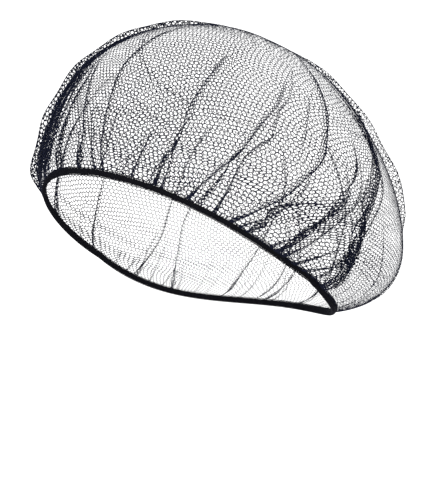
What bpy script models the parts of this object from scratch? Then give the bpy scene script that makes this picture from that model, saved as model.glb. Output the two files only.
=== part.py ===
"""Hairnet as it is worn: a fine knitted bag gathered onto a narrow elastic band.

The bag is one open sheet with a thin wall. It lies close over the crown, stands off beside
the temples and hangs as a pouch behind. Folds run up from the band towards the middle of
the bag, and short gathers stand all along the band.
Metres, +Z up, brow towards -Y. The origin is the middle of the band's loop.
"""
from collections import namedtuple

import bpy
import numpy as np

# Elastic band, along its lower edge
BAND_FRONT = 0.0955         # from the ear-to-ear line forward to the brow
BAND_BACK = 0.0725          # from the ear-to-ear line back to the nape
BAND_HALF_BREADTH = 0.0804
BAND_NARROWING = 0.04       # share by which the loop is broader before the ears than behind
BAND_RISE = 0.0472          # brow above the middle of the loop, nape below it
BAND_SADDLE = 0.0078        # brow and nape above a plane loop, sides below it
BAND_WAVE = -0.0018         # straightens the run from the ear to the nape
BAND_WIDTH = 0.0030
BAND_THICKNESS = 0.0018
BAND_EDGE_RADIUS = 0.0005
CLEARANCE = 0.0003          # between the band's upper edge and the bag

# Crown that the bag lies on
CROWN_HALF_LENGTH = 0.1012
CROWN_HALF_BREADTH = 0.0836
CROWN_HALF_HEIGHT = 0.0957
CROWN_CENTRE_HEIGHT = 0.0360   # above the middle of the band's loop
RAY_CENTRE_HEIGHT = 0.0240     # where the bag's rays start, above the same middle
POLE_LEAN = np.radians(30.0)   # the bag's middle leans back from straight up

# Bag
WALL = 0.0010
HEM = 0.0025                # upright edge of the bag, in line with the band
SLACK_MOST = 0.0120         # furthest that the bag stands off the crown, outside the pouch
SLACK_CROWD = 0.49          # below 1 the slack crowds towards the band
CROWN_LEAVES = 0.55         # share of the way to the band where the bag leaves the crown
POUCH_DEPTH = 0.0300        # how far the pouch hangs out behind
POUCH_SPREAD = 0.0200       # how far it spreads to each side
POUCH_DROP = 0.0040         # and how far down it goes
POUCH_CROWD = 0.47
POUCH_SHARPNESS = 1.80
POUCH_NARROWNESS = 1.80
POUCH_STARTS = -0.78        # cosine of the angle from the nape where the pouch starts

# Folds and gathers
FOLD_LIFT = 0.0045
FOLD_HALF_BREADTH = 0.0105
FOLD_CROWD = 0.45           # below 1 a fold is highest near the band
GATHER_LIFT = 0.0009
GATHER_LENGTH = 0.14        # share of the way from the band to the pole

COLUMNS = 128               # an even number: every other column is the top of a gather
ROWS = 17
BAND_SEGMENTS = 96

# Slack beside the crown, every 45 degrees from the brow past the left ear and round
Slack = namedtuple("Slack", "angle share")
SLACK = (
    Slack(0, 0.12),
    Slack(45, 0.12),
    Slack(90, 0.88),
    Slack(135, 0.30),
    Slack(180, 0.64),
    Slack(225, 0.64),
    Slack(270, 0.85),
    Slack(315, 0.80),
    Slack(360, 0.12),
)

# Folds: the angle at the band, how far the fold drifts and bows on its way in (degrees),
# the share of the way to the pole that it reaches, and its lift and breadth as shares
Fold = namedtuple("Fold", "angle drift bow reach lift breadth")
FOLDS = (
    Fold(0, -12, 0, 0.28, 0.60, 0.8),
    Fold(7, -3, -6, 0.66, 0.70, 0.8),
    Fold(20, 2, 0, 0.16, 0.45, 0.8),
    Fold(28, 7, 0, 0.46, 0.80, 0.9),
    Fold(41, 18, 0, 0.48, 0.90, 1.0),
    Fold(56, 11, 12, 0.66, 1.00, 1.1),
    Fold(73, 13, 0, 0.24, 1.00, 1.1),
    Fold(88, 8, 0, 0.55, 0.70, 1.0),
    Fold(104, -8, 0, 0.60, 0.90, 1.1),
    Fold(121, -6, 3, 0.36, 0.70, 1.0),
    Fold(139, 7, 0, 0.58, 0.90, 1.1),
    Fold(158, -8, 2, 0.44, 0.75, 1.0),
    Fold(177, 5, 0, 0.62, 1.00, 1.1),
    Fold(195, 6, -3, 0.40, 0.70, 1.0),
    Fold(213, -7, 0, 0.57, 0.90, 1.1),
    Fold(233, 7, 3, 0.37, 0.75, 1.0),
    Fold(251, -6, 0, 0.60, 0.90, 1.1),
    Fold(270, 6, 0, 0.33, 0.80, 1.0),
    Fold(291, 12, 0, 0.55, 0.90, 1.0),
    Fold(314, 9, -4, 0.50, 0.80, 1.0),
    Fold(334, 10, 4, 0.48, 0.90, 1.0),
)


def ease(value, start, end):
    """0 up to start, 1 from end, and a smooth S between them."""
    share = np.clip((value - start) / (end - start), 0.0, 1.0)
    return share * share * (3.0 - 2.0 * share)


def unit(vectors):
    """Each vector divided by its length."""
    return vectors / np.linalg.norm(vectors, axis=-1, keepdims=True)


def band_line(angle):
    """Lower edge of the band: half ellipses before and behind the ears, raised by cosines."""
    cosine = np.cos(angle)
    reach = np.where(cosine > 0.0, BAND_FRONT, BAND_BACK)
    height = (BAND_RISE * cosine + BAND_SADDLE * np.cos(2 * angle)
              + BAND_WAVE * np.cos(3 * angle))
    breadth = BAND_HALF_BREADTH * (1.0 + BAND_NARROWING * cosine)
    return np.stack([breadth * np.sin(angle), -reach * cosine, height], -1)


def band_directions(angle):
    """Unit vectors at the band: outwards from the crown, and up across the band's width."""
    step = 1e-4
    along = unit(band_line(angle + step) - band_line(angle - step))
    outward = band_line(angle) - RAY_CENTRE
    outward -= (outward * along).sum(-1, keepdims=True) * along
    outward = unit(outward)
    return outward, np.cross(outward, along)


def hem_line(angle, height):
    """The bag's edge, or a line at a height above it in line with the band."""
    upward = band_directions(angle)[1]
    return band_line(angle) + (BAND_WIDTH + CLEARANCE + height) * upward


def crown_distance(direction):
    """Distance from the rays' centre to the crown's ellipsoid, along each unit direction."""
    axes = np.array([CROWN_HALF_BREADTH, CROWN_HALF_LENGTH, CROWN_HALF_HEIGHT])
    start = (RAY_CENTRE - np.array([0.0, 0.0, CROWN_CENTRE_HEIGHT])) / axes
    way = direction / axes
    a = (way * way).sum(-1)
    b = (way * start).sum(-1)
    c = (start * start).sum() - 1.0
    return (np.sqrt(b * b - a * c) - b) / a


def slack_share(angle):
    """Slack around the band, eased from one row of the table to the next."""
    turned = np.mod(np.degrees(angle), 360.0)
    total = np.zeros_like(turned)
    for row, following in zip(SLACK, SLACK[1:]):
        inside = (turned >= row.angle) & (turned < following.angle)
        level = row.share + (following.share - row.share) * ease(turned, row.angle, following.angle)
        total = np.where(inside, level, total)
    return total


def fold_height(angle, way):
    """Height of the folds: a rounded ridge along each fold's line, tapered to both ends."""
    total = np.zeros(np.broadcast(angle, way).shape)
    around = BAND_HALF_BREADTH * np.sin(0.5 * np.pi * way)
    for fold in FOLDS:
        along = np.clip((1.0 - way) / fold.reach, 0.0, 1.0)
        middle = np.radians(fold.angle + fold.drift * along + fold.bow * np.sin(np.pi * along))
        beside = (angle - middle + np.pi) % (2.0 * np.pi) - np.pi
        across = np.clip(beside * around / (fold.breadth * FOLD_HALF_BREADTH), -1.0, 1.0)
        ridge = np.cos(0.5 * np.pi * across) ** 2 * np.sin(np.pi * along ** FOLD_CROWD)
        total = np.maximum(total, fold.lift * FOLD_LIFT * ridge)
    return total


def bag_points(angle, way):
    """The bag's surface at an angle around it and a share of the way from pole to band.

    A ray from the centre turns from the pole (way 0) down to the band (way 1). Its length is
    the crown's, then blends into the band's, plus slack, folds and gathers. The pouch then
    moves the points behind outwards and down.
    """
    edge = hem_line(angle, HEM) - RAY_CENTRE
    edge_length = np.linalg.norm(edge, axis=-1)
    edge_way = edge / edge_length[..., None]
    swing = np.arccos(np.clip(edge_way @ POLE, -1.0, 1.0))
    ray = (np.sin((1.0 - way) * swing)[..., None] * POLE
           + np.sin(way * swing)[..., None] * edge_way) / np.sin(swing)[..., None]
    leaving = ease(way, CROWN_LEAVES, 1.0)
    length = crown_distance(ray) * (1.0 - leaving) + edge_length * leaving
    length = length + SLACK_MOST * slack_share(angle) * np.sin(np.pi * (1.0 - way) ** SLACK_CROWD)
    length = length + fold_height(angle, way)
    crest = np.cos(0.5 * COLUMNS * angle)
    length = length + GATHER_LIFT * crest * ease(way, 1.0 - GATHER_LENGTH, 1.0 - 0.3 * GATHER_LENGTH)
    pouch = (ease(-np.cos(angle), POUCH_STARTS, 1.0) ** POUCH_NARROWNESS
             * np.sin(np.pi * (1.0 - way) ** POUCH_CROWD) ** POUCH_SHARPNESS)
    hang = np.stack([POUCH_SPREAD * np.sin(angle), np.full_like(angle, POUCH_DEPTH),
                     np.full_like(angle, -POUCH_DROP)], -1)
    return RAY_CENTRE + ray * length[..., None] + pouch[..., None] * hang


def closed_strip(columns, rows):
    """Faces of a grid that is closed around: rows of points, each with one point a column."""
    column = np.arange(columns)
    following = (column + 1) % columns
    quads = []
    for row in range(rows - 1):
        low, high = row * columns, (row + 1) * columns
        quads += np.stack([low + column, low + following, high + following, high + column], -1).tolist()
    return quads


def black_finish(name, colour, roughness):
    """A matt textile finish."""
    material = bpy.data.materials.new(name)
    material.use_nodes = True
    shader = material.node_tree.nodes["Principled BSDF"]
    shader.inputs["Base Color"].default_value = (*colour, 1.0)
    shader.inputs["Roughness"].default_value = roughness
    shader.inputs["Metallic"].default_value = 0.0
    return material


def add_object(name, points, faces, material):
    """A mesh object in the hairnet's collection."""
    mesh = bpy.data.meshes.new(name)
    mesh.from_pydata(points.reshape(-1, 3).tolist(), [], faces)
    mesh.shade_smooth()
    mesh.materials.append(material)
    made = bpy.data.objects.new(name, mesh)
    bpy.data.collections[COLLECTION].objects.link(made)
    return made


def give_wall(made, thickness):
    """Solidify: half of the wall on each side of the open sheet."""
    wall = made.modifiers.new("wall", "SOLIDIFY")
    wall.thickness = thickness
    wall.offset = 0.0


def make_net():
    """The bag: rows of points from its edge up to one point at the pole, then a wall."""
    angle = np.arange(COLUMNS) * 2.0 * np.pi / COLUMNS
    way = 1.0 - np.arange(ROWS) / ROWS
    points = np.vstack([hem_line(angle, 0.0), bag_points(angle[None, :], way[:, None]).reshape(-1, 3)])
    pole = RAY_CENTRE + POLE * crown_distance(POLE)
    last_row = ROWS * COLUMNS
    fan = [(last_row + i, last_row + (i + 1) % COLUMNS, len(points)) for i in range(COLUMNS)]
    faces = closed_strip(COLUMNS, ROWS + 1) + fan
    net = add_object("net", np.vstack([points, pole]), faces,
                     black_finish("net_yarn", (0.012, 0.013, 0.020), 0.62))
    give_wall(net, WALL)


def make_elastic_band():
    """The band: a strip as wide as the elastic, standing on the crown, with rounded edges."""
    angle = np.arange(BAND_SEGMENTS) * 2.0 * np.pi / BAND_SEGMENTS
    upward = band_directions(angle)[1]
    lower = band_line(angle)
    points = np.stack([lower, lower + BAND_WIDTH * upward])
    band = add_object("elastic_band", points, closed_strip(BAND_SEGMENTS, 2),
                      black_finish("elastic_yarn", (0.006, 0.006, 0.008), 0.78))
    give_wall(band, BAND_THICKNESS)
    rounding = band.modifiers.new("rounded edges", "BEVEL")
    rounding.width = BAND_EDGE_RADIUS
    rounding.segments = 1
    rounding.limit_method = "ANGLE"


for old in list(bpy.data.objects):
    bpy.data.objects.remove(old, do_unlink=True)

COLLECTION = "hairnet"
RAY_CENTRE = np.array([0.0, 0.0, RAY_CENTRE_HEIGHT])
POLE = np.array([0.0, np.sin(POLE_LEAN), np.cos(POLE_LEAN)])
bpy.context.scene.collection.children.link(bpy.data.collections.new(COLLECTION))
make_net()
make_elastic_band()
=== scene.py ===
import math
from collections import namedtuple

import bpy
import numpy as np
from mathutils import Matrix, Vector


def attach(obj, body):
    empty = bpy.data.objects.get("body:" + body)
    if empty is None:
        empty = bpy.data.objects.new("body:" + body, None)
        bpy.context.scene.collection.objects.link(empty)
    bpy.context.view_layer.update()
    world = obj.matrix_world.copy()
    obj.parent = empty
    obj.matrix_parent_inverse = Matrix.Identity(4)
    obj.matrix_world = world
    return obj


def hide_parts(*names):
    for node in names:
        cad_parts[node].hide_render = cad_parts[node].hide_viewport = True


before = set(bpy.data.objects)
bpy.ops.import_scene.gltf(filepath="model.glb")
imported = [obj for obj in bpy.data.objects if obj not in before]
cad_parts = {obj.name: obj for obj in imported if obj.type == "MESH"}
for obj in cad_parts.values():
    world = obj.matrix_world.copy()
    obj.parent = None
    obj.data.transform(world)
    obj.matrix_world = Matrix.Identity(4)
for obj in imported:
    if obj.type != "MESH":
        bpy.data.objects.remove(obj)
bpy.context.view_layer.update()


# Elastic band
#
# The real one is a narrow knitted elastic, black and matt, sewn shut as a loop of about 56 cm.
# It slopes down from the front to the back and dips at both sides, and its knit shows as rows
# of fine chevrons.

BAND_FRONT = 0.0955
BAND_BACK = 0.0725
BAND_HALF_BREADTH = 0.0804
BAND_NARROWING = 0.04
BAND_RISE = 0.0472
BAND_SADDLE = 0.0078
BAND_WAVE = -0.0018
BAND_WIDTH = 0.0030
BAND_THICKNESS = 0.0018
RAY_CENTRE = np.array([0.0, 0.0, 0.0240])

STITCHES = 620
RINGS_A_STITCH = 3
BAND_PROFILE_POINTS = 16
LOOP_STEPS = 2881
KNIT_RELIEF = 0.00005
CHEVRON_LEAN = 1.5      # of the knit, in stitches across the band
ELASTIC_BLACK = (0.0015, 0.0015, 0.0020)
ELASTIC_LINT = (0.006, 0.006, 0.008)
YARN_SHINE = 0.02
SHEEN_BREADTH = 0.6
SHEEN_TINT = (0.45, 0.50, 0.75, 1.0)
BUMP_STRENGTH = 0.6
FIBRES_ON_ROWS = 0.4    # height of the fibres beside that of slanted rows


def unit(vectors):
    """Each vector divided by its length."""
    return vectors / np.linalg.norm(vectors, axis=-1, keepdims=True)


def band_line(angle):
    """Lower edge of the band: a long half ellipse in front and a short one behind, raised by
    cosines."""
    cosine = np.cos(angle)
    reach = np.where(cosine > 0.0, BAND_FRONT, BAND_BACK)
    height = (BAND_RISE * cosine + BAND_SADDLE * np.cos(2 * angle)
              + BAND_WAVE * np.cos(3 * angle))
    breadth = BAND_HALF_BREADTH * (1.0 + BAND_NARROWING * cosine)
    return np.stack([breadth * np.sin(angle), -reach * cosine, height], -1)


def band_directions(angle):
    """Unit vectors at the band: along it, outwards from the crown, and up across its width."""
    step = 1e-4
    along = unit(band_line(angle + step) - band_line(angle - step))
    outward = band_line(angle) - RAY_CENTRE
    outward = unit(outward - (outward * along).sum(-1, keepdims=True) * along)
    return along, outward, np.cross(outward, along)


def band_angles(count):
    """Angles that divide the band's loop into equal lengths, found on its summed chords."""
    angle = np.linspace(0.0, 2.0 * np.pi, LOOP_STEPS)
    walked = np.linalg.norm(np.diff(band_line(angle), axis=0), axis=-1).cumsum()
    walked = np.concatenate([[0.0], walked])
    return np.interp(np.arange(count) * walked[-1] / count, walked, angle)


def rounded(turn, half_breadth, half_height, squareness=4.0):
    """A superellipse: cosine and sine of the turn raised to 2 / squareness, each by its half
    size."""
    power = 2.0 / squareness
    cosine, sine = np.cos(turn), np.sin(turn)
    return (half_breadth * np.sign(cosine) * np.abs(cosine) ** power,
            half_height * np.sign(sine) * np.abs(sine) ** power)


def mesh_object(name, points, quads, coordinates=None):
    """A smooth-shaded object at the origin from points and four-sided faces, and UV pairs for
    the faces' corners where they are given."""
    mesh = bpy.data.meshes.new(name)
    mesh.vertices.add(len(points))
    mesh.vertices.foreach_set("co", points.astype(np.float32).ravel())
    mesh.loops.add(4 * len(quads))
    mesh.loops.foreach_set("vertex_index", quads.astype(np.int32).ravel())
    mesh.polygons.add(len(quads))
    mesh.polygons.foreach_set("loop_start", np.arange(0, 4 * len(quads), 4, dtype=np.int32))
    mesh.update(calc_edges=True)
    if coordinates is not None:
        layer = mesh.uv_layers.new(name="stitches")
        layer.uv.foreach_set("vector", coordinates.astype(np.float32).ravel())
    mesh.shade_smooth()
    made = bpy.data.objects.new(name, mesh)
    bpy.context.scene.collection.objects.link(made)
    return made


def closed_rings(name, grids, stitches):
    """One object of closed tubes. Each grid holds rings of points around a closed path, and
    each face joins point j and j + 1 of ring i and i + 1, both counted round. U runs through
    the stitches along the path, and V once around the ring."""
    points, quads, coordinates, first = [], [], [], 0
    for grid in grids:
        rings, sides = grid.shape[:2]
        i, j = (index.ravel() for index in np.indices((rings, sides)))
        ahead, beside = (i + 1) % rings, (j + 1) % sides
        quads.append(first + np.stack([i * sides + j, ahead * sides + j, ahead * sides + beside,
                                       i * sides + beside], -1))
        u = np.stack([i, i + 1, i + 1, i], -1) * stitches / rings
        v = np.stack([j, j, j + 1, j + 1], -1) / sides
        coordinates.append(np.stack([u, v], -1).reshape(-1, 2))
        points.append(grid.reshape(-1, 3))
        first += rings * sides
    return mesh_object(name, np.concatenate(points), np.concatenate(quads),
                       np.concatenate(coordinates))


def band_surface():
    """The band's superellipse carried round the loop. Chevrons stand out as the sine of the
    stitch number plus the height on the band folded about its middle."""
    rings = STITCHES * RINGS_A_STITCH
    angle = band_angles(rings)[:, None]
    turn = 2.0 * np.pi * np.arange(BAND_PROFILE_POINTS) / BAND_PROFILE_POINTS
    out, rise = rounded(turn, 0.5 * BAND_THICKNESS, 0.5 * BAND_WIDTH)
    stitch = np.arange(rings)[:, None] / RINGS_A_STITCH
    relief = KNIT_RELIEF * np.sin(2.0 * np.pi * (stitch + np.abs(rise) / BAND_WIDTH * CHEVRON_LEAN))
    swell = 1.0 + relief / (0.5 * BAND_THICKNESS)
    _, outward, upward = band_directions(angle)
    return (band_line(angle) + outward * (out * swell)[..., None]
            + upward * (0.5 * BAND_WIDTH + rise)[..., None])


def group_socket(group, name, direction, kind, value=None):
    """A named socket on a node group."""
    socket = group.interface.new_socket(name=name, in_out=direction, socket_type=kind)
    if value is not None:
        socket.default_value = value


def yarn_tone_group():
    """Colour, roughness and height of spun yarn. Coarse noise on object coordinates mixes
    clean and linty yarn, and fine noise gives the fibres' height."""
    group = bpy.data.node_groups.new("Yarn tone", "ShaderNodeTree")
    group_socket(group, "Yarn", "INPUT", "NodeSocketColor", (0.01, 0.01, 0.015, 1.0))
    group_socket(group, "Lint", "INPUT", "NodeSocketColor", (0.03, 0.03, 0.04, 1.0))
    group_socket(group, "Lint patches", "INPUT", "NodeSocketFloat", 300.0)
    group_socket(group, "Fibre scale", "INPUT", "NodeSocketFloat", 9000.0)
    group_socket(group, "Smoothest", "INPUT", "NodeSocketFloat", 0.45)
    group_socket(group, "Roughest", "INPUT", "NodeSocketFloat", 0.75)
    group_socket(group, "Colour", "OUTPUT", "NodeSocketColor")
    group_socket(group, "Roughness", "OUTPUT", "NodeSocketFloat")
    group_socket(group, "Height", "OUTPUT", "NodeSocketFloat")
    nodes, links = group.nodes, group.links
    given, result = nodes.new("NodeGroupInput"), nodes.new("NodeGroupOutput")
    place = nodes.new("ShaderNodeTexCoord")
    patches, fibres = nodes.new("ShaderNodeTexNoise"), nodes.new("ShaderNodeTexNoise")
    for noise, scale in ((patches, "Lint patches"), (fibres, "Fibre scale")):
        links.new(place.outputs["Object"], noise.inputs["Vector"])
        links.new(given.outputs[scale], noise.inputs["Scale"])
    patches.inputs["Detail"].default_value = 3.0
    fibres.inputs["Detail"].default_value = 2.0
    blend = nodes.new("ShaderNodeMath")
    blend.operation = "MULTIPLY"
    links.new(patches.outputs["Fac"], blend.inputs[0])
    links.new(fibres.outputs["Fac"], blend.inputs[1])
    linty = nodes.new("ShaderNodeMapRange")
    linty.inputs["From Min"].default_value = 0.12
    linty.inputs["From Max"].default_value = 0.42
    links.new(blend.outputs[0], linty.inputs["Value"])
    colour = nodes.new("ShaderNodeMix")
    colour.data_type = "RGBA"
    links.new(linty.outputs["Result"], colour.inputs["Factor"])
    links.new(given.outputs["Yarn"], colour.inputs["A"])
    links.new(given.outputs["Lint"], colour.inputs["B"])
    links.new(colour.outputs["Result"], result.inputs["Colour"])
    dull = nodes.new("ShaderNodeMapRange")
    links.new(patches.outputs["Fac"], dull.inputs["Value"])
    dull.inputs["From Min"].default_value = 0.3
    dull.inputs["From Max"].default_value = 0.7
    links.new(given.outputs["Smoothest"], dull.inputs["To Min"])
    links.new(given.outputs["Roughest"], dull.inputs["To Max"])
    links.new(dull.outputs["Result"], result.inputs["Roughness"])
    links.new(fibres.outputs["Fac"], result.inputs["Height"])
    return group


def slanted_rows_group():
    """Height of rows that slant across a strip or thread: half of one plus the sine of a full
    turn for each row along U, shifted by V times the slant."""
    group = bpy.data.node_groups.new("Slanted rows", "ShaderNodeTree")
    group_socket(group, "U", "INPUT", "NodeSocketFloat", 0.0)
    group_socket(group, "V", "INPUT", "NodeSocketFloat", 0.0)
    group_socket(group, "Rows", "INPUT", "NodeSocketFloat", 1.0)
    group_socket(group, "Slant", "INPUT", "NodeSocketFloat", 1.0)
    group_socket(group, "Height", "OUTPUT", "NodeSocketFloat")
    nodes, links = group.nodes, group.links
    given, result = nodes.new("NodeGroupInput"), nodes.new("NodeGroupOutput")
    steps = []
    for operation, first, second in (("MULTIPLY", "U", "Rows"), ("MULTIPLY", "V", "Slant"),
                                     ("ADD", 0, 1), ("MULTIPLY", 2, 2.0 * math.pi),
                                     ("SINE", 3, None), ("MULTIPLY_ADD", 4, 0.5)):
        step = nodes.new("ShaderNodeMath")
        step.operation = operation
        for slot, source in enumerate((first, second)):
            if isinstance(source, str):
                links.new(given.outputs[source], step.inputs[slot])
            elif isinstance(source, int):
                links.new(steps[source].outputs[0], step.inputs[slot])
            elif source is not None:
                step.inputs[slot].default_value = source
        steps.append(step)
    steps[-1].inputs[2].default_value = 0.5
    links.new(steps[-1].outputs[0], result.inputs["Height"])
    return group


YARN_TONE = yarn_tone_group()
SLANTED_ROWS = slanted_rows_group()


def yarn_finish(name, yarn, lint, patches, fibres, smoothest, roughest, relief, sheen,
                rows=None, slant=0.0, fold=None):
    """Matt yarn: its tone from the shared group, and a bump of fibres and slanted rows. A fold
    turns the rows' V back and forth, which makes them chevrons."""
    material = bpy.data.materials.new(name)
    material.use_nodes = True
    nodes, links = material.node_tree.nodes, material.node_tree.links
    shader = nodes["Principled BSDF"]
    shader.inputs["Specular IOR Level"].default_value = YARN_SHINE
    shader.inputs["Sheen Weight"].default_value = sheen
    shader.inputs["Sheen Roughness"].default_value = SHEEN_BREADTH
    shader.inputs["Sheen Tint"].default_value = SHEEN_TINT
    tone = nodes.new("ShaderNodeGroup")
    tone.node_tree = YARN_TONE
    tone.inputs["Yarn"].default_value = (*yarn, 1.0)
    tone.inputs["Lint"].default_value = (*lint, 1.0)
    tone.inputs["Lint patches"].default_value = patches
    tone.inputs["Fibre scale"].default_value = fibres
    tone.inputs["Smoothest"].default_value = smoothest
    tone.inputs["Roughest"].default_value = roughest
    links.new(tone.outputs["Colour"], shader.inputs["Base Color"])
    links.new(tone.outputs["Roughness"], shader.inputs["Roughness"])
    bump = nodes.new("ShaderNodeBump")
    bump.inputs["Strength"].default_value = BUMP_STRENGTH
    bump.inputs["Distance"].default_value = relief
    links.new(bump.outputs["Normal"], shader.inputs["Normal"])
    height = tone.outputs["Height"]
    if rows is not None:
        stitches = nodes.new("ShaderNodeUVMap")
        stitches.uv_map = "stitches"
        parts = nodes.new("ShaderNodeSeparateXYZ")
        links.new(stitches.outputs["UV"], parts.inputs["Vector"])
        slanted = nodes.new("ShaderNodeGroup")
        slanted.node_tree = SLANTED_ROWS
        slanted.inputs["Rows"].default_value = rows
        slanted.inputs["Slant"].default_value = slant
        links.new(parts.outputs["X"], slanted.inputs["U"])
        across = parts.outputs["Y"]
        if fold is not None:
            folded = nodes.new("ShaderNodeMath")
            folded.operation = "PINGPONG"
            folded.inputs[1].default_value = fold
            links.new(across, folded.inputs[0])
            across = folded.outputs[0]
        links.new(across, slanted.inputs["V"])
        both = nodes.new("ShaderNodeMath")
        both.operation = "MULTIPLY_ADD"
        both.inputs[1].default_value = FIBRES_ON_ROWS
        links.new(height, both.inputs[0])
        links.new(slanted.outputs["Height"], both.inputs[2])
        height = both.outputs[0]
    links.new(height, bump.inputs["Height"])
    return material


band_knit = closed_rings("band_knit", [band_surface()], STITCHES)
band_knit.data.materials.append(
    yarn_finish("knitted_elastic", ELASTIC_BLACK, ELASTIC_LINT, patches=260.0, fibres=7000.0,
                smoothest=0.55, roughest=0.80, rows=1.0, slant=6.0, fold=0.0625,
                relief=0.00012, sheen=0.0))
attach(band_knit, "root")
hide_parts("elastic_band")


# Overlock thread
#
# The real seam is a row of overlock stitches. A thread wraps the elastic and the net's edge
# once for each stitch, and a second one is locked through its loops below, which gives the band
# its finely toothed lower edge.

THREAD_RADIUS = 0.00016
POINTS_A_WRAP = 14
POINTS_A_LOCK = 6
THREAD_SIDES = 5
NEEDLE_REACH = 0.0009   # how far the stitch goes up into the net
LOOP_DIP = 0.00050      # how far its loop hangs below the elastic
STITCH_SLANT = 0.45     # lean of the thread on the faces, in stitches
WRAP_STANDS_OFF = 0.8   # the thread's middle off the elastic, in its radii
WRAP_SQUARENESS = 3.0
LOCK_SWAY = 0.00030     # of the lower thread, out and in
LOCK_RISE = 0.00014     # and up and down
LOCK_HANGS = 0.7        # share of the loops' dip at which it runs
THREAD_BLACK = (0.004, 0.004, 0.006)
THREAD_LINT = (0.014, 0.014, 0.019)


def thread_tube(centre, side):
    """A closed tube: circles across the path, turned from a side direction to the vector
    square to it and to the path."""
    path = unit(np.roll(centre, -1, axis=0) - np.roll(centre, 1, axis=0))
    side = unit(side - (side * path).sum(-1, keepdims=True) * path)
    third = np.cross(path, side)
    turn = -2.0 * np.pi * np.arange(THREAD_SIDES) / THREAD_SIDES
    return (centre[:, None] + THREAD_RADIUS * (np.cos(turn)[:, None] * side[:, None]
                                               + np.sin(turn)[:, None] * third[:, None]))


def wrapping_thread():
    """A winding round the band's superellipse, once for each stitch. A fourth power of the
    sine draws it up into the net, and a cube drops its loop below."""
    count = STITCHES * POINTS_A_WRAP
    turn = 2.0 * np.pi * (np.arange(count) % POINTS_A_WRAP) / POINTS_A_WRAP
    angle = band_angles(count) + 2.0 * np.pi / STITCHES * STITCH_SLANT * 0.5 * np.sin(turn)
    along, outward, upward = band_directions(angle)
    out, rise = rounded(turn, 0.5 * BAND_THICKNESS + WRAP_STANDS_OFF * THREAD_RADIUS,
                        0.5 * BAND_WIDTH + WRAP_STANDS_OFF * THREAD_RADIUS, WRAP_SQUARENESS)
    needle, loop = np.clip(np.sin(turn), 0.0, 1.0) ** 4, np.clip(-np.sin(turn), 0.0, 1.0) ** 3
    rise = rise + NEEDLE_REACH * needle - LOOP_DIP * loop
    centre = (band_line(angle) + outward * (out * (1.0 - 0.5 * needle))[:, None]
              + upward * (0.5 * BAND_WIDTH + rise)[:, None])
    return thread_tube(centre, along)


def locking_thread():
    """A thread along the lower edge that sways out and in by a cosine and dips by a sine, once
    for each stitch."""
    count = STITCHES * POINTS_A_LOCK
    turn = 2.0 * np.pi * (np.arange(count) % POINTS_A_LOCK) / POINTS_A_LOCK
    angle = band_angles(count)
    _, outward, upward = band_directions(angle)
    centre = (band_line(angle) + outward * (LOCK_SWAY * np.cos(turn))[:, None]
              - upward * (LOCK_HANGS * LOOP_DIP + LOCK_RISE * np.sin(turn))[:, None])
    return thread_tube(centre, outward)


overlock = closed_rings("overlock_thread", [wrapping_thread(), locking_thread()], STITCHES)
overlock.data.materials.append(
    yarn_finish("overlock_thread", THREAD_BLACK, THREAD_LINT, patches=900.0, fibres=12000.0,
                smoothest=0.40, roughest=0.65, rows=8.0, slant=1.0, relief=0.00005, sheen=0.01))
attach(overlock, "root")


# Net
#
# The real bag is one round cut of fine black nylon net, knitted in hexagonal meshes and
# gathered at its edge to less than half. It lies close over the crown, stands off at both
# sides and hangs as a pouch behind, and its spare cloth is taken up by folds and gathers.

# The crown, an ellipsoid that the bag lies close to, and where the bag leaves it
CROWN_HALF_LENGTH = 0.1012
CROWN_HALF_BREADTH = 0.0836
CROWN_HALF_HEIGHT = 0.0957
CROWN_CENTRE = np.array([0.0, 0.0, 0.0360])
POLE_LEAN = np.radians(30.0)
POLE = np.array([0.0, np.sin(POLE_LEAN), np.cos(POLE_LEAN)])
CROWN_LEAVES = 0.55
SLACK_MOST = 0.0120
SLACK_CROWD = 0.49
SLACK_EVERY_45_DEGREES = (0.10, 0.12, 0.68, 0.30, 0.62, 0.64, 0.80, 0.50, 0.10)
POUCH_DEPTH = 0.0300
POUCH_SPREAD = 0.0200
POUCH_DROP = 0.0040
POUCH_CROWD = 0.47
POUCH_SHARPNESS = 1.80
POUCH_NARROWNESS = 1.80
POUCH_STARTS = -0.78

# Meshes and yarn
MESH_PITCH = 0.00255
MESH_UNEVENNESS = 0.00005
YARN_WIDTH = 0.00046
YARN_THICKNESS = 0.00016
YARN_THINS = 0.32       # by how much of its width the stretched yarn of the pouch is thinner
YARN_THINS_OVER = (0.05, 0.65)  # from and to: minus the cosine of the angle around
MESH_SHUT = 0.9         # most of the way to the middle that a squeezed mesh closes
MESH_SEED = 5
EDGE_KEPT_FREE = 0.3    # between the cut's edge and the middles of its last meshes, in pitches
NET_BLACK = (0.003, 0.004, 0.010)
NET_LINT = (0.008, 0.010, 0.024)

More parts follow.
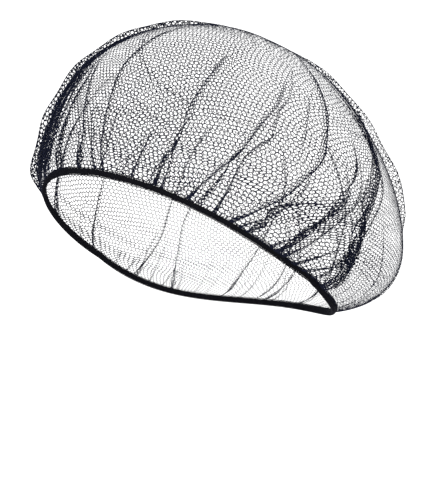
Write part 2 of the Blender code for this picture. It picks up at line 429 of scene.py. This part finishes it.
# Folds. A fold runs inwards from a start to an end, both shares of the way from the pole to the
# band. It begins at an angle, and drifts, bows and sways on its way (degrees). It takes up so
# much cloth on a foot so wide (mm). Its crest stands up and lies over sideways by shares of half
# that cloth. Folds side by side make the dark strips at both sides, and two high ones the thin
# fringe beyond them. Angles run from the front over the wearer's left and on round the back.
Fold = namedtuple("Fold", "angle start end drift bow sway cloth foot stands lies")
FOLDS = (
    # at the front and the front left
    Fold(5.4, 1.00, 0.80, -9.5, 0.0, 0.0, 8, 1.4, 0.36, -0.10),
    Fold(8.3, 1.00, 0.33, -3.8, -5.3, 0.3, 13, 1.8, 0.36, 0.10),
    Fold(20.0, 1.00, 0.84, 3.0, 0.0, 0.0, 7, 1.2, 0.36, 0.10),
    Fold(28.2, 1.00, 0.48, 7.0, 0.4, 0.6, 16, 2.2, 0.34, -0.12),
    Fold(31.0, 1.00, 0.72, 2.4, 0.0, 0.0, 7, 1.2, 0.36, -0.10),
    Fold(39.4, 1.00, 0.44, 19.0, 2.5, 0.0, 14, 2.0, 0.34, 0.10),
    Fold(43.5, 1.00, 0.76, 7.6, 0.0, 0.0, 8, 1.2, 0.36, 0.10),
    Fold(49.2, 1.00, 0.64, 10.4, -2.6, 0.6, 12, 1.6, 0.36, -0.12),
    Fold(54.5, 1.00, 0.16, 10.5, 13.2, 1.1, 18, 2.2, 0.34, 0.10),
    Fold(57.3, 0.58, 0.36, 3.0, 1.2, 0.0, 5, 1.2, 0.36, 0.10),
    Fold(57.6, 1.00, 0.70, 14.0, 3.0, 0.0, 9, 1.4, 0.36, 0.10),
    Fold(61.0, 1.00, 0.78, 17.5, -4.5, 1.4, 11, 1.6, 0.36, 0.12),
    Fold(66.2, 0.57, 0.43, 0.0, 0.8, 0.0, 5, 1.2, 0.36, 0.10),
    # strips at the left side
    Fold(69.5, 1.00, 0.60, 12.1, 3.9, -1.1, 8, 1.4, 0.40, 0.15),
    Fold(72.0, 1.00, 0.48, 12.1, 3.9, -1.1, 11, 1.6, 0.40, 0.15),
    Fold(73.0, 1.00, 0.54, 12.1, 3.9, -1.1, 12, 9.0, 0.05, 0.00),
    Fold(75.0, 1.00, 0.55, 12.1, 3.9, -1.1, 9, 1.4, 0.40, -0.15),
    Fold(79.5, 1.00, 0.88, 8.0, -1.0, 0.0, 9, 1.4, 0.36, 0.12),
    Fold(84.0, 1.00, 0.90, 8.0, 0.0, 0.0, 8, 1.4, 0.36, 0.12),
    Fold(89.0, 1.00, 0.88, 1.0, 0.0, 0.0, 9, 1.4, 0.36, -0.12),
    Fold(94.3, 1.00, 0.24, -19.5, 8.8, -7.6, 12, 1.5, 0.45, -0.15),
    Fold(95.8, 1.00, 0.14, -19.5, 8.8, -7.6, 13, 1.6, 0.45, -0.15),
    Fold(96.5, 1.00, 0.30, -19.5, 8.8, -7.6, 14, 9.0, 0.05, 0.00),
    Fold(97.3, 1.00, 0.20, -19.5, 8.8, -7.6, 13, 1.6, 0.45, -0.15),
    Fold(98.8, 1.00, 0.34, -19.5, 8.8, -7.6, 12, 1.5, 0.45, -0.15),
    # high fold of the fringe on the left, and folds behind and on the right
    Fold(122.5, 0.58, 0.10, -59.0, 11.0, -1.5, 13, 1.6, 0.78, 0.00),
    Fold(133.0, 1.00, 0.70, -9.0, 2.0, 0.0, 6, 1.2, 0.30, 0.00),
    Fold(152.0, 1.00, 0.66, 6.0, 0.0, 0.0, 8, 1.2, 0.20, 0.10),
    Fold(177.0, 1.00, 0.38, 5.0, 0.0, 2.0, 13, 1.6, 0.30, 0.12),
    Fold(195.0, 1.00, 0.60, 6.0, -3.0, 0.0, 12, 1.5, 0.30, 0.12),
    Fold(199.0, 1.00, 0.66, 5.0, -3.0, 0.0, 9, 1.4, 0.30, 0.12),
    Fold(213.0, 1.00, 0.43, -7.0, 0.0, 2.0, 13, 1.6, 0.34, -0.12),
    Fold(233.0, 1.00, 0.63, 7.0, 3.0, 0.0, 12, 1.5, 0.34, 0.12),
    Fold(251.0, 1.00, 0.40, -6.0, 0.0, -2.0, 14, 1.7, 0.34, -0.12),
    Fold(270.0, 1.00, 0.67, 6.0, 0.0, 0.0, 12, 1.5, 0.36, 0.12),
    Fold(289.0, 1.00, 0.45, 12.0, 0.0, 0.0, 12, 1.6, 0.36, 0.12),
    Fold(300.0, 1.00, 0.55, 20.0, -4.0, 0.0, 9, 1.4, 0.50, 0.12),
    Fold(307.0, 1.00, 0.50, 22.0, -5.0, 0.0, 9, 1.4, 0.50, 0.12),
    # high fold of the fringe on the right, and the strip at the front right
    Fold(312.0, 1.00, 0.08, 71.8, -19.5, 5.0, 15, 1.6, 0.72, 0.00),
    Fold(317.5, 1.00, 0.30, 27.5, -2.8, 1.7, 9, 1.4, 0.50, 0.12),
    Fold(321.0, 1.00, 0.36, 21.3, -1.3, 1.3, 8, 1.5, 0.50, 0.12),
    Fold(324.5, 1.00, 0.32, 22.2, -2.2, 1.5, 8, 1.5, 0.50, 0.12),
    Fold(326.0, 1.00, 0.36, 19.5, -1.8, 1.4, 24, 20.0, 0.03, 0.00),
    Fold(328.0, 1.00, 0.40, 16.2, -0.9, 1.3, 8, 1.5, 0.50, 0.12),
    Fold(331.5, 1.00, 0.46, 12.5, -0.3, 1.2, 8, 1.5, 0.50, -0.12),
    Fold(335.5, 1.00, 0.56, 7.3, 1.0, 0.7, 10, 1.4, 0.45, -0.12),
    # at the front
    Fold(345.0, 1.00, 0.62, -3.1, 0.7, -0.8, 16, 2.2, 0.36, 0.12),
    Fold(357.4, 1.00, 0.60, -15.0, 2.4, 0.8, 14, 1.9, 0.36, 0.12),
)
FOLD_TAPER = 0.48       # power by which a fold narrows towards its end
FOLD_FADES_IN = 0.16    # share of the way over which a fold that starts inside the net grows
FOLD_UNEVENNESS = 0.14  # by how much of itself a fold's height rises and sinks
FOLD_WAVES = 13.0       # half waves of that from the middle of the bag to the band
FOLD_SINKS = 0.35       # share of a fold over which its crest sinks to its end
CREASE_ROUNDING = 0.02
FOLD_LEVELS = 801       # levels between middle and band at which the folds are worked out
FOLDS_OPEN_WITHIN = 0.02    # radius on the flat cut inside which folds take up no more angle
WANDER = 0.3            # how far folds stray to either side, in degrees
WANDER_WAVES = 9.0      # half waves of that
WANDER_GROWS = 0.2      # share of the way from the band over which they start to stray
NARROWEST_ROUND = 0.1   # least radius for turning a crest's lie into an angle, as a share of the band's

# Gathers: short pleats all along the band, each with its own share of these values. Near a
# fold they run into it, as the small folds of cloth do that is drawn up on a thread.
GATHERS = 72
GATHER_CLOTH = 3.8
GATHER_FOOT = 1.00
GATHER_REACH = (0.06, 0.22)
GATHER_STANDS = 0.35
GATHER_LIES = 0.15
GATHERS_JOIN_WITHIN = 6.0
GATHERS_JOIN = 0.8      # share of the way over to the fold that a gather goes
GATHER_JITTER = 0.35    # in spaces between gathers
GATHER_SIZES = (0.4, 1.6)
GATHER_SEED = 11
CROWDING_ANGLES = (0.0, 20.0, 60.0, 90.0, 120.0, 180.0, 300.0, 340.0)
CROWDING_OF_GATHERS = (1.4, 0.6, 1.0, 1.3, 0.4, 0.7, 0.9, 1.5)
SEWN_DOWN = 0.070       # share of the way over which every fold is pressed flat at the band
PLEATED_DOWN = 0.12     # and over which its crest is drawn back over its foot
CROSSING = 2.0          # how near two folds come, in degrees, before they run into each other


def ease(value, start, end):
    """0 up to start, 1 from end, and the S of 3s^2 - 2s^3 between them."""
    share = np.clip((value - start) / (end - start), 0.0, 1.0)
    return share * share * (3.0 - 2.0 * share)


def crown_distance(direction):
    """Distance from the rays' centre to the crown's ellipsoid along each unit direction: the
    positive root of the quadratic that the ellipsoid's equation gives."""
    axes = np.array([CROWN_HALF_BREADTH, CROWN_HALF_LENGTH, CROWN_HALF_HEIGHT])
    start = (RAY_CENTRE - CROWN_CENTRE) / axes
    way = direction / axes
    a = (way * way).sum(-1)
    b = (way * start).sum(-1)
    return (np.sqrt(b * b - a * ((start * start).sum() - 1.0)) - b) / a


def slack_share(angle):
    """Slack around the band, eased from one 45 degree mark to the next."""
    marks = np.array(SLACK_EVERY_45_DEGREES)
    turned = np.mod(np.degrees(angle), 360.0) / 45.0
    mark = np.minimum(turned.astype(int), 7)
    level = ease(turned - mark, 0.0, 1.0)
    return marks[mark] * (1.0 - level) + marks[mark + 1] * level


def bag_points(angle, way, lift=0.0):
    """The bag's surface at an angle around it and a share of the way from pole to band.

    A ray from the centre turns from the pole (way 0) down to the band (way 1). Its length is
    the crown's, blended into the band's, plus slack and lift. The pouch then moves the points
    behind outwards and down.
    """
    edge = band_line(angle) + 0.5 * BAND_WIDTH * band_directions(angle)[2] - RAY_CENTRE
    edge_length = np.linalg.norm(edge, axis=-1)
    edge_way = edge / edge_length[..., None]
    swing = np.arccos(np.clip(edge_way @ POLE, -1.0, 1.0))
    ray = (np.sin((1.0 - way) * swing)[..., None] * POLE
           + np.sin(way * swing)[..., None] * edge_way) / np.sin(swing)[..., None]
    leaving = ease(way, CROWN_LEAVES, 1.0)
    length = crown_distance(ray) * (1.0 - leaving) + edge_length * leaving
    length = length + SLACK_MOST * slack_share(angle) * np.sin(np.pi * (1.0 - way) ** SLACK_CROWD)
    pouch = (ease(-np.cos(angle), POUCH_STARTS, 1.0) ** POUCH_NARROWNESS
             * np.sin(np.pi * (1.0 - way) ** POUCH_CROWD) ** POUCH_SHARPNESS)
    hang = np.stack([POUCH_SPREAD * np.sin(angle), np.full_like(angle, POUCH_DEPTH),
                     np.full_like(angle, -POUCH_DROP)], -1)
    return RAY_CENTRE + ray * (length + lift)[..., None] + pouch[..., None] * hang


def measure_bag(angles=241, steps=241):
    """Arc length from the pole to the band at each angle, and the share of the way at which
    each share of that length is reached."""
    angle, way = np.meshgrid(np.linspace(0.0, 2.0 * np.pi, angles), np.linspace(0.0, 1.0, steps),
                             indexing="ij")
    walked = np.linalg.norm(np.diff(bag_points(angle, way), axis=1), axis=-1).cumsum(axis=1)
    walked = np.concatenate([np.zeros((angles, 1)), walked], axis=1)
    shares = np.linspace(0.0, 1.0, steps)
    way_at = np.stack([np.interp(shares, row / row[-1], way[0]) for row in walked])
    return walked[:, -1], way_at


def all_folds():
    """The long folds and the gathers between them. A gather drifts as its neighbours do, or
    into a fold that is near."""
    generator = np.random.default_rng(GATHER_SEED)
    long_folds = [fold for fold in FOLDS if fold.start == 1.0]
    angles = np.array([fold.angle for fold in long_folds])
    flow = np.array([fold.drift / (fold.start - fold.end) for fold in long_folds])
    folds = list(FOLDS)
    for number in range(GATHERS):
        jitter = generator.uniform(-GATHER_JITTER, GATHER_JITTER)
        angle = (number + jitter) * 360.0 / GATHERS % 360.0
        reach = generator.uniform(*GATHER_REACH)
        away = (angles - angle + 180.0) % 360.0 - 180.0
        nearest = np.abs(away).argmin()
        if abs(away[nearest]) < GATHERS_JOIN_WITHIN:
            drift = GATHERS_JOIN * away[nearest] + flow[nearest] * reach
        else:
            drift = np.interp(angle, angles, flow, period=360.0) * reach
        crowding = np.interp(angle, CROWDING_ANGLES, CROWDING_OF_GATHERS, period=360.0)
        cloth = GATHER_CLOTH * crowding * generator.uniform(*GATHER_SIZES)
        lies = GATHER_LIES * generator.choice((-1.0, 1.0))
        folds.append(Fold(angle, 1.0, 1.0 - reach, drift, 0.0, 0.0, cloth, GATHER_FOOT,
                          GATHER_STANDS, lies))
    return folds


def fold_course(fold, way):
    """The cloth that a fold takes up at each share of the way, how far its crest stands up and
    lies over, all in metres, and the angle of its middle.

    The cloth narrows by a power of what is left of the fold. The crest's shares of half the
    cloth are uneven by a sine, and sink to nothing at the end. The middle drifts evenly, bows
    by half a sine, sways by a whole one and strays by a longer one.
    """
    along = np.clip((fold.start - way) / (fold.start - fold.end), 0.0, 1.0)
    grown = ease(fold.start + FOLD_FADES_IN - way, 0.0, FOLD_FADES_IN)
    cloth = 0.001 * fold.cloth * (1.0 - along) ** FOLD_TAPER * grown
    uneven = 1.0 + FOLD_UNEVENNESS * np.sin(FOLD_WAVES * np.pi * way + 2.3 * fold.angle)
    crest = 0.5 * cloth * uneven * ease(1.0 - along, 0.0, FOLD_SINKS)
    height = fold.stands * crest * ease(1.0 - way, 0.0, SEWN_DOWN)
    aside = fold.lies * crest * ease(1.0 - way, 0.0, PLEATED_DOWN)
    stray = (WANDER * np.sin(WANDER_WAVES * (1.0 - way) * np.pi + fold.angle)
             * ease(1.0 - way, 0.0, WANDER_GROWS))
    middle = (fold.angle + fold.drift * along + fold.bow * np.sin(np.pi * along)
              + fold.sway * np.sin(2.0 * np.pi * along) + stray)
    return cloth, height, aside, np.radians(middle)


def fold_courses(levels):
    """For every fold its foot in metres, and at each level its cloth, height, lie, middle and
    the cloth that it and the folds before it have taken up as far as its middle.

    Another fold's cloth counts from none to all of it, by the S of how far this middle lies
    beyond that one, so that folds may run into each other and cross.
    """
    folds = all_folds()
    cloth, height, aside, middle = np.stack(
        [fold_course(fold, levels) for fold in folds]).transpose(1, 0, 2)
    near = math.radians(CROSSING)
    passed = (ease(middle[:, None] - middle[None], -near, near) * cloth[None]).sum(axis=1)
    foot = np.array([0.001 * fold.foot for fold in folds])
    return foot, cloth, height, aside, middle, passed


def lay_cloth(flat):
    """Where points of the flat cut come to lie on the bag.

    A point's distance from the middle gives its share of the way to the band. Its angle
    passes the folds: each takes up its own cloth over its foot, by a straight ramp in the
    angle, and what is left is spread evenly. In a fold the cloth stands up as a cosine, and
    goes aside and comes back in straight lines with a rounded crease.
    """
    radius = np.linalg.norm(flat, axis=-1)
    angle = np.arctan2(flat[:, 0], -flat[:, 1]) % (2.0 * np.pi)
    place = angle / (2.0 * np.pi) * (len(CUT_RADIUS) - 1)
    low = np.minimum(place.astype(int), len(CUT_RADIUS) - 2)
    part = place - low
    share = radius / (CUT_RADIUS[low] * (1.0 - part) + CUT_RADIUS[low + 1] * part)
    step = np.clip(share, 0.0, 1.0) * (WAY_AT.shape[1] - 1)
    near = np.minimum(step.astype(int), WAY_AT.shape[1] - 2)
    rest = step - near
    way = ((WAY_AT[low, near] * (1.0 - rest) + WAY_AT[low, near + 1] * rest) * (1.0 - part)
           + (WAY_AT[low + 1, near] * (1.0 - rest) + WAY_AT[low + 1, near + 1] * rest) * part)

    levels = np.linspace(0.0, 1.0, FOLD_LEVELS)
    foots, *courses = fold_courses(levels)
    radius = np.maximum(radius, FOLDS_OPEN_WITHIN)
    spread = 2.0 * np.pi - np.interp(way, levels, courses[0].sum(axis=0)) / radius
    lift, swept, sideways = (np.zeros_like(way) for _ in range(3))
    for foot, *course in zip(foots, *courses):
        cloth, height, aside, centre, passed = (np.interp(way, levels, row) for row in course)
        take = cloth / radius
        middle = centre * spread / (2.0 * np.pi) + passed / radius
        beside = (angle - middle + np.pi) % (2.0 * np.pi) - np.pi
        across = np.clip(beside / (0.5 * take + 0.5 * foot / radius), -1.0, 1.0)
        turn = np.round((angle - middle - beside) / (2.0 * np.pi))
        swept += take * (0.5 + 0.5 * across + turn)
        lift += height * np.cos(0.5 * np.pi * across)
        crease = np.sqrt((across ** 2 + CREASE_ROUNDING) / (1.0 + CREASE_ROUNDING))
        sideways += aside * (1.0 - crease)
    around = BAND_HALF_BREADTH * np.maximum(np.sin(0.5 * np.pi * way), NARROWEST_ROUND)
    turned = (angle - swept) * 2.0 * np.pi / spread + sideways / around
    return bag_points(turned, way, lift)


def cut_meshes():
    """The flat cut as a hexagonal lattice: the flat places of all middles and corners, for
    each mesh its six corners and the six meshes beyond its sides, anticlockwise, and for each
    corner the three meshes round it.

    Mesh (i, j) has its middle at pitch * (i + j/2, j * sqrt(3)/2), and owns its upper and its
    lower corner. The other four are the upper or lower corners of its neighbours.
    """
    rows = int(CUT_RADIUS.max() / (MESH_PITCH * math.sqrt(0.75))) + 3
    columns = int(CUT_RADIUS.max() / MESH_PITCH + 0.5 * rows) + 3
    j, i = np.meshgrid(np.arange(-rows, rows + 1), np.arange(-columns, columns + 1), indexing="ij")
    middles = MESH_PITCH * np.stack([i + 0.5 * j, math.sqrt(0.75) * j], -1).reshape(-1, 2)
    corner = np.array([0.0, MESH_PITCH / math.sqrt(3.0)])
    corners = np.stack([middles + corner, middles - corner], 1).reshape(-1, 2)
    uneven = np.random.default_rng(MESH_SEED).normal(0.0, MESH_UNEVENNESS, corners.shape)
    across = 2 * columns + 1
    cell = np.arange(len(middles))
    own = np.stack([2 * (cell + across) + 1, 2 * cell, 2 * (cell + across - 1) + 1,
                    2 * (cell - across), 2 * cell + 1, 2 * (cell - across + 1)], -1)
    beyond = np.stack([cell + across, cell + across - 1, cell - 1,
                       cell - across, cell - across + 1, cell + 1], -1)
    around = np.stack([cell, cell + across, cell + across - 1,
                       cell, cell - across, cell - across + 1], -1).reshape(-1, 3)
    return middles, corners + uneven, own, beyond, around


def net_piece(name, chosen):
    """Yarn round the chosen meshes, as one closed body.

    Each corner of the lattice has a crest above and one below the cloth, and each mesh has an
    inner corner in from each of its own. The share of the way to the middle is half a yarn's
    width over the distance from the middle to the nearer of the two sides, so that squeezed
    meshes close. Yarn is thinner in the pouch. Four-sided faces run from crests to inner
    corners above and below, and a wall closes each side with no mesh beyond it.
    """
    corners = OWN[chosen]
    used, local = np.unique(corners, return_inverse=True)
    local = local.reshape(corners.shape)
    place, normal = CORNER_PLACES[used], CORNER_NORMALS[used]
    crest = 0.5 * YARN_THICKNESS * normal
    inward = MIDDLE_PLACES[chosen][:, None, :] - CORNER_PLACES[corners]
    along = np.roll(CORNER_PLACES[corners], -1, axis=1) - CORNER_PLACES[corners]
    reach = np.linalg.norm(np.cross(inward, unit(along)), axis=-1)
    reach = np.minimum(reach, np.roll(reach, 1, axis=1))
    thin = ease(-np.cos(MIDDLE_ANGLE[chosen]), *YARN_THINS_OVER)
    width = YARN_WIDTH * (1.0 - YARN_THINS * thin)
    share = np.minimum(0.5 * width[:, None] / reach, MESH_SHUT)
    inner = CORNER_PLACES[corners] + inward * share[..., None]
    points = np.concatenate([place + crest, place - crest, inner.reshape(-1, 3)])

    top, bottom = local, local + len(used)
    inside = 2 * len(used) + np.arange(corners.size).reshape(corners.shape)
    top_on, bottom_on, inside_on = (np.roll(ids, -1, axis=1) for ids in (top, bottom, inside))
    above = np.stack([top, top_on, inside_on, inside], -1).reshape(-1, 4)
    below = np.stack([bottom, inside, inside_on, bottom_on], -1).reshape(-1, 4)
    open_side = ~np.isin(BEYOND[chosen], chosen)
    wall = np.stack([bottom, bottom_on, top_on, top], -1)[open_side]
    return mesh_object(name, points, np.concatenate([above, below, wall]))


CUT_RADIUS, WAY_AT = measure_bag()
MIDDLES, CORNERS, OWN, BEYOND, AROUND = cut_meshes()
MIDDLE_ANGLE = np.arctan2(MIDDLES[:, 0], -MIDDLES[:, 1]) % (2.0 * np.pi)
cut_edge = np.interp(MIDDLE_ANGLE, np.linspace(0.0, 2.0 * np.pi, len(CUT_RADIUS)), CUT_RADIUS)
kept = np.flatnonzero(np.linalg.norm(MIDDLES, axis=-1) < cut_edge - EDGE_KEPT_FREE * MESH_PITCH)
corners_used = np.unique(OWN[kept])
middles_used = np.unique(AROUND[corners_used])
CORNER_PLACES = np.zeros((len(CORNERS), 3))
MIDDLE_PLACES = np.zeros((len(MIDDLES), 3))
CORNER_NORMALS = np.zeros((len(CORNERS), 3))
CORNER_PLACES[corners_used] = lay_cloth(CORNERS[corners_used])
MIDDLE_PLACES[middles_used] = lay_cloth(MIDDLES[middles_used])
first, second, third = (MIDDLE_PLACES[AROUND[corners_used, side]] for side in range(3))
facing = np.cross(second - first, third - first)
CORNER_NORMALS[corners_used] = facing / np.maximum(
    np.linalg.norm(facing, axis=-1, keepdims=True), 1e-12)

net_yarn = yarn_finish("net_yarn", NET_BLACK, NET_LINT, patches=500.0, fibres=11000.0,
                       smoothest=0.45, roughest=0.70, relief=0.00005, sheen=0.03)
quarter = ((np.degrees(MIDDLE_ANGLE[kept]) + 45.0) // 90.0).astype(int) % 4
for number, name in enumerate(("net_front", "net_left", "net_back", "net_right")):
    chosen = kept[quarter == number]
    piece = net_piece(name, chosen)
    piece.data.materials.append(net_yarn)
    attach(piece, "root")
    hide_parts("net")


# Floor, light and camera
#
# The floor is plain and pale and lies well below the band. Light comes from all round, with a
# broad soft lamp in front, and the camera stands where the photo's did: to the front left.

FLOOR_HALF = 45.0
FLOOR_HEIGHT = -0.118
FLOOR_GREY = (0.9, 0.9, 0.9, 1.0)
SKY_STRENGTH = 1.35
LAMP_STRENGTH = 0.9
LAMP_BREADTH = math.radians(40.0)
LAMP_STANDS = Vector((0.35, -0.45, 1.0))
CAMERA_AZIMUTH = math.radians(41.0)
CAMERA_ELEVATION = math.radians(7.0)
CAMERA_DISTANCE = 1.300
PIXELS_PER_METRE = 1745.0
CROWN_PIXEL = (200.6, 192.8)
IMAGE_CENTRE = (213.5, 250.0)
IMAGE_HEIGHT = 500.0

floor_face = bpy.data.meshes.new("floor")
floor_face.from_pydata([(FLOOR_HALF * x, FLOOR_HALF * y, FLOOR_HEIGHT)
                        for x, y in ((-1, -1), (1, -1), (1, 1), (-1, 1))], [], [(0, 1, 2, 3)])
floor = bpy.data.objects.new("floor", floor_face)
bpy.context.scene.collection.objects.link(floor)
floor_paint = bpy.data.materials.new("floor_paint")
floor_paint.use_nodes = True
paint = floor_paint.node_tree.nodes["Principled BSDF"].inputs
paint["Base Color"].default_value = FLOOR_GREY
paint["Roughness"].default_value = 0.9
paint["Specular IOR Level"].default_value = 0.0
floor.data.materials.append(floor_paint)

world = bpy.data.worlds.new("studio")
bpy.context.scene.world = world
world.use_nodes = True
sky = world.node_tree.nodes["Background"].inputs
sky["Color"].default_value = (1.0, 1.0, 1.0, 1.0)
sky["Strength"].default_value = SKY_STRENGTH
bpy.context.scene.view_settings.view_transform = "Standard"

lamp = bpy.data.objects.new("key", bpy.data.lights.new("key", "SUN"))
lamp.data.energy = LAMP_STRENGTH
lamp.data.angle = LAMP_BREADTH
lamp.rotation_euler = LAMP_STANDS.to_track_quat("Z", "Y").to_euler()
bpy.context.scene.collection.objects.link(lamp)

back = Vector((math.sin(CAMERA_AZIMUTH) * math.cos(CAMERA_ELEVATION),
               -math.cos(CAMERA_AZIMUTH) * math.cos(CAMERA_ELEVATION), math.sin(CAMERA_ELEVATION)))
right = Vector((math.cos(CAMERA_AZIMUTH), math.sin(CAMERA_AZIMUTH), 0.0))
up = back.cross(right)
camera = bpy.data.objects.new("camera", bpy.data.cameras.new("camera"))
bpy.context.scene.collection.objects.link(camera)
camera.location = (Vector(CROWN_CENTRE) + back * CAMERA_DISTANCE
                   + right * (IMAGE_CENTRE[0] - CROWN_PIXEL[0]) / PIXELS_PER_METRE
                   - up * (IMAGE_CENTRE[1] - CROWN_PIXEL[1]) / PIXELS_PER_METRE)
camera.rotation_euler = Matrix((right, up, back)).transposed().to_euler()
camera.data.sensor_width = 36.0
camera.data.lens = PIXELS_PER_METRE * CAMERA_DISTANCE * camera.data.sensor_width / IMAGE_HEIGHT
camera.data.clip_end = 100.0
bpy.context.scene.camera = camera
